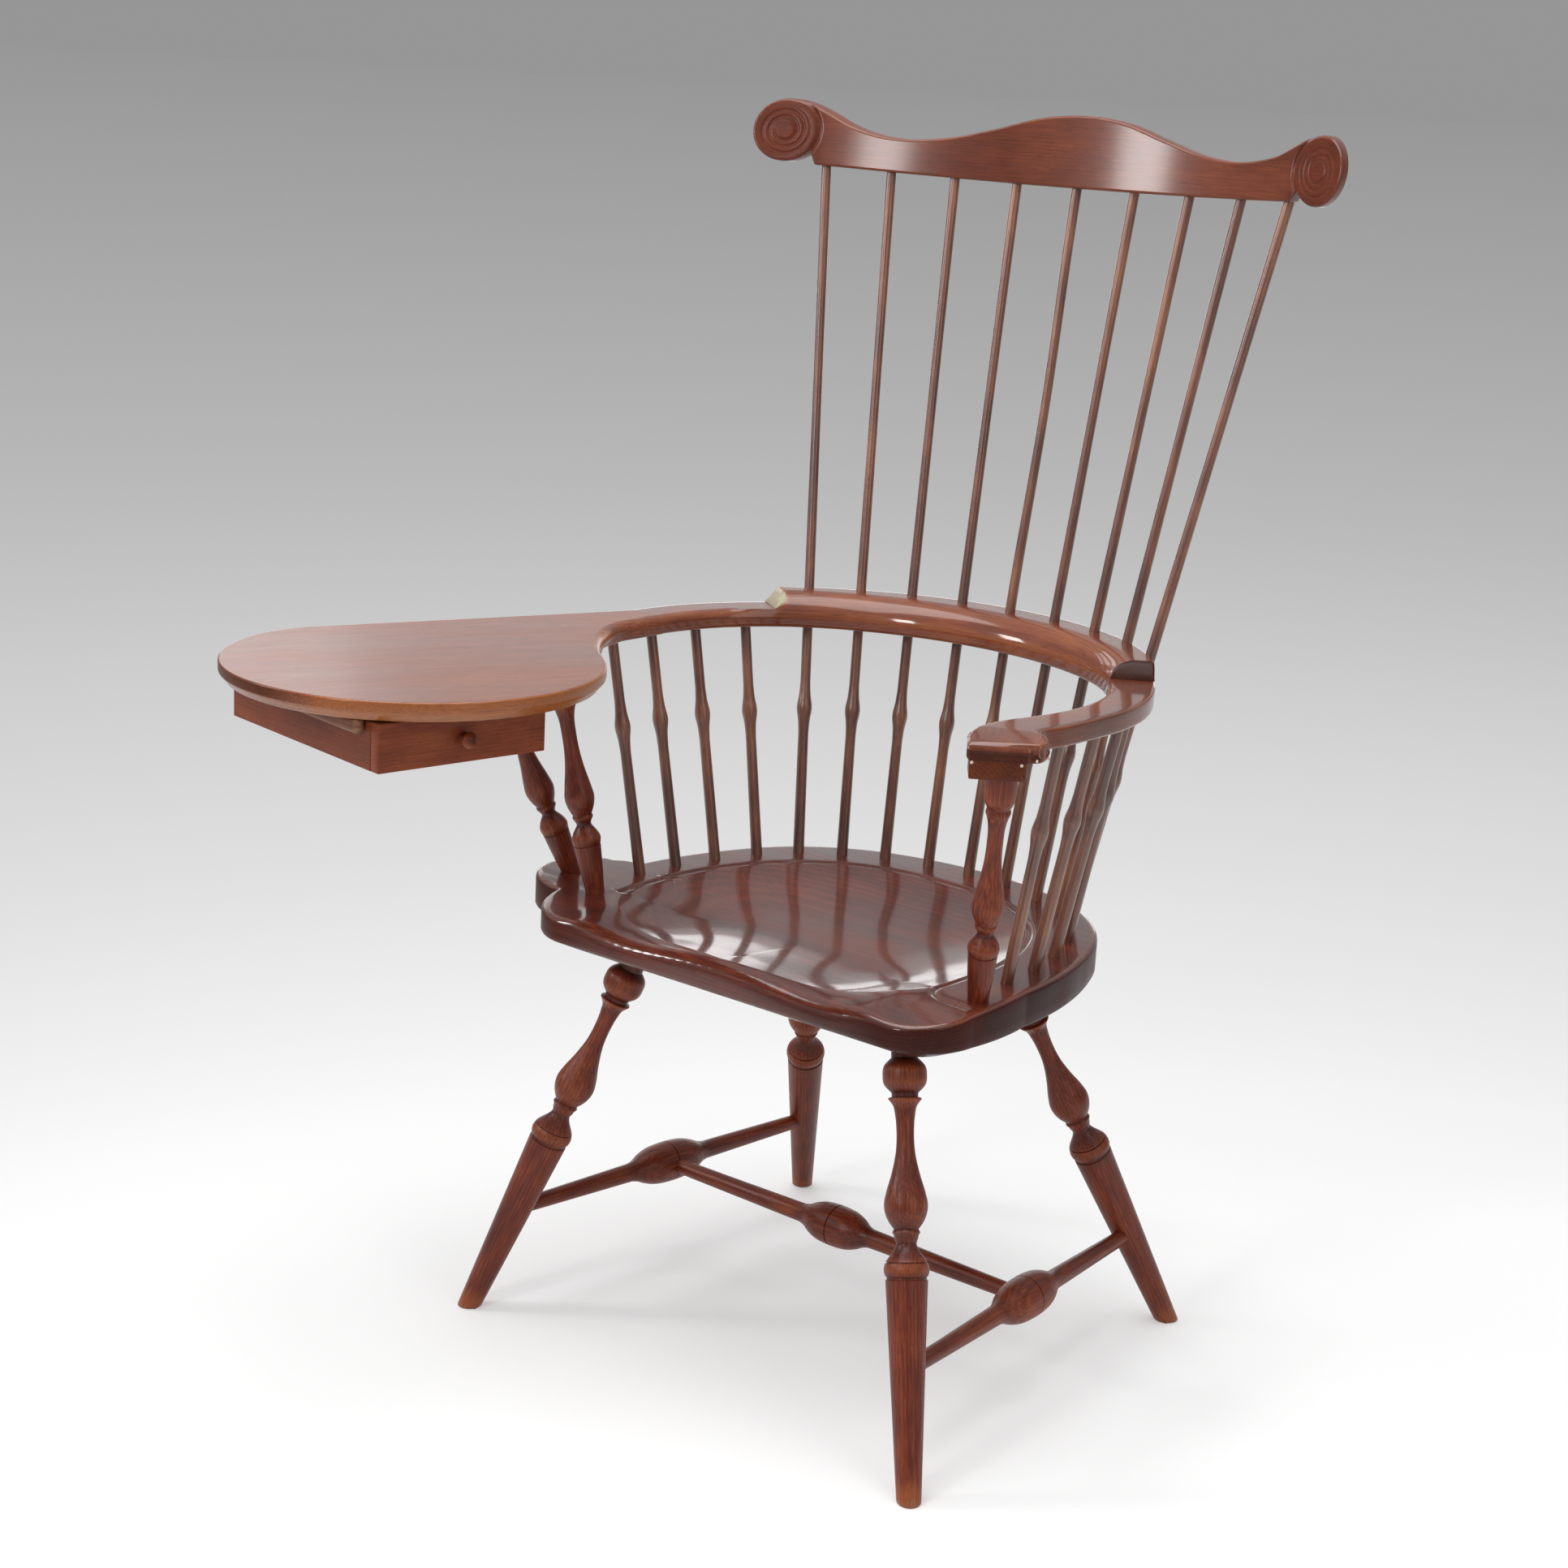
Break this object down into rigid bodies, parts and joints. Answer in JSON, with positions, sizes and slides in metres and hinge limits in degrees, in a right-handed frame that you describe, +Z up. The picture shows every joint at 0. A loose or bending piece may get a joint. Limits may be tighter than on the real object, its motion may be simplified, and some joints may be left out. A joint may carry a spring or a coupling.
{
  "type": "writing arm windsor chair",
  "caption": "Comb-back Windsor armchair with turned legs and stretchers, a carved comb, a knuckle hand and a broad writing tablet with a sliding drawer.",
  "frame": {"origin": "on the floor, under the middle of the overall box in X and Y", "axes": "+Z up; the chair faces -Y; +X is the sitter's left, so the writing tablet is on the -X side"},
  "size_m": [0.7783, 0.8502, 1.207],
  "materials": {
    "seat_wood": "glossy reddish-brown stain and varnish",
    "turned_wood": "satin reddish-brown stain and varnish, worn pale at the feet",
    "spindle_wood": "satin reddish-brown stain and varnish",
    "arm_wood": "glossy reddish-brown stain and varnish",
    "comb_wood": "satin reddish-brown stain and varnish",
    "tablet_wood": "glossy reddish-brown stain and varnish",
    "drawer_wood": "satin reddish-brown stain and varnish",
    "drawer_inner_wood": "bare pale wood",
    "cleat_wood": "satin reddish-brown stain",
    "dowel_wood": "bare pale wood",
    "screw_steel": "dull plain steel"
  },
  "bodies": {
    "chair": {"seat": "seat_wood", "leg_front_left": "turned_wood", "leg_front_right": "turned_wood", "leg_back_left": "turned_wood", "leg_back_right": "turned_wood", "side_stretcher_left": "turned_wood", "side_stretcher_right": "turned_wood", "centre_stretcher": "turned_wood", "arm_left": "arm_wood", "arm_right": "arm_wood", "arm_crest": "arm_wood", "knuckle_block": "arm_wood", "arm_stump": "turned_wood", "tablet_post_front": "turned_wood", "tablet_post_back": "turned_wood", "writing_tablet": "tablet_wood", "comb": "comb_wood", "long_spindle_1": "spindle_wood", "long_spindle_2": "spindle_wood", "long_spindle_3": "spindle_wood", "long_spindle_4": "spindle_wood", "long_spindle_5": "spindle_wood", "long_spindle_6": "spindle_wood", "long_spindle_7": "spindle_wood", "long_spindle_8": "spindle_wood", "long_spindle_9": "spindle_wood", "short_spindle_left_1": "spindle_wood", "short_spindle_right_1": "spindle_wood", "short_spindle_left_2": "spindle_wood", "short_spindle_right_2": "spindle_wood", "short_spindle_left_3": "spindle_wood", "short_spindle_right_3": "spindle_wood", "short_spindle_left_4": "spindle_wood", "short_spindle_right_4": "spindle_wood", "crest_dowels": "dowel_wood", "rail_dowels": "dowel_wood", "cleat_left": "cleat_wood", "cleat_right": "cleat_wood", "cleat_screws": "screw_steel"},
    "drawer": {"drawer_front": "drawer_wood", "drawer_side_left": "drawer_wood", "drawer_side_right": "drawer_wood", "drawer_back": "drawer_inner_wood", "drawer_bottom": "drawer_inner_wood", "drawer_knob": "drawer_wood"}
  },
  "joints": [
    {"name": "drawer_slide", "type": "slide", "parent": "chair", "child": "drawer", "axis": [0.9848, -0.1736, 0], "range_m": [0, 0.18]}
  ]
}
